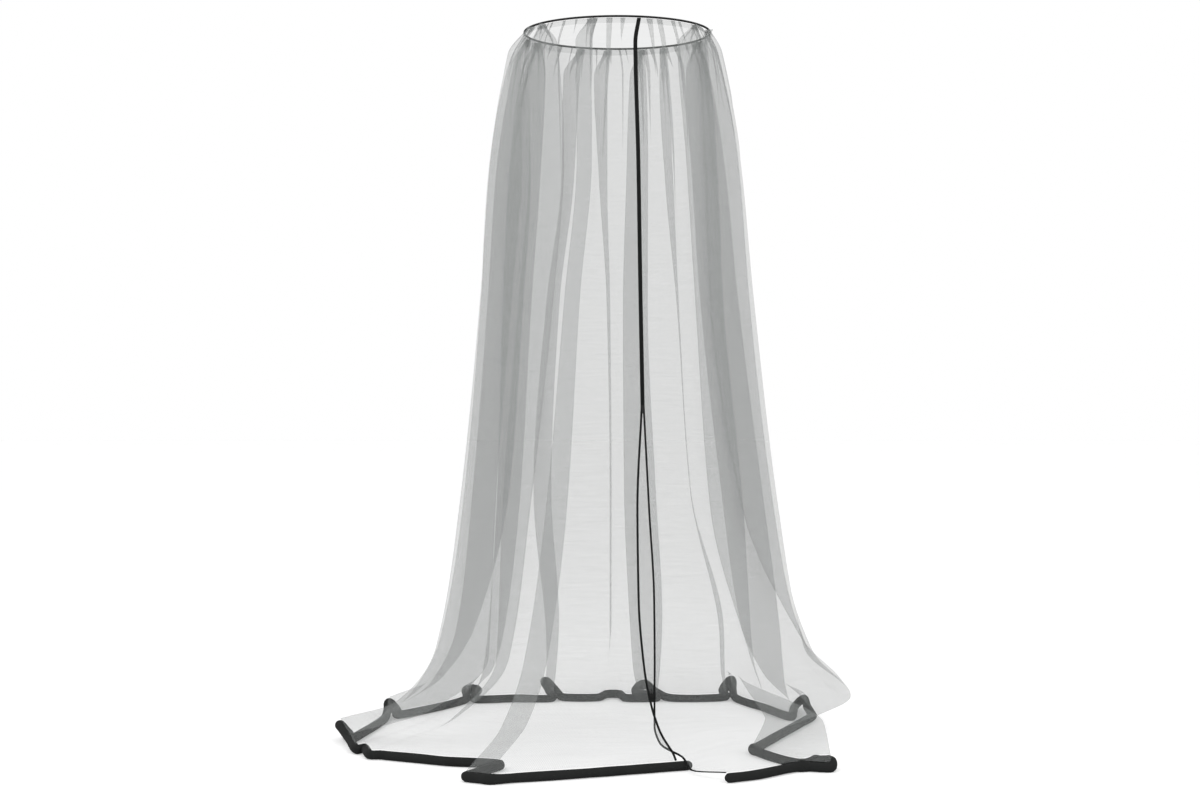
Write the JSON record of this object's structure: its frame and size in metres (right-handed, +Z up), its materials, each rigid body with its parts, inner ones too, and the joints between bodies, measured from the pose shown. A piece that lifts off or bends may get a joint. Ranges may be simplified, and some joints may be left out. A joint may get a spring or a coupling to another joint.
{
  "type": "parasol mosquito net with its top hoop",
  "caption": "Round sheer grey mosquito net gathered onto a thin black hoop, open at the front along a zip, with a soft stuffed hem tube lying on the floor in loose tucks.",
  "frame": {"origin": "centre of the top hoop, in its plane", "axes": "+Z up along the net's axis, +X to the right seen from the zip side, +Y towards the back; the zip is at the front, on the -Y side, and the floor is at z = -2.3 m"},
  "size_m": [1.6731, 1.6242, 2.3034],
  "materials": {
    "netting": "sheer fine mesh",
    "tube": "matt woven cover, softly stuffed",
    "hoop": "smooth, slightly glossy rod",
    "tape": "woven zip tape with fine coil",
    "slider": "black enamel"
  },
  "bodies": {
    "root": {"net": "netting", "top_ring": "hoop", "hem_tube": "tube", "zip_tape_left": "tape", "zip_tape_right": "tape", "zip_slider": "slider"}
  },
  "joints": []
}
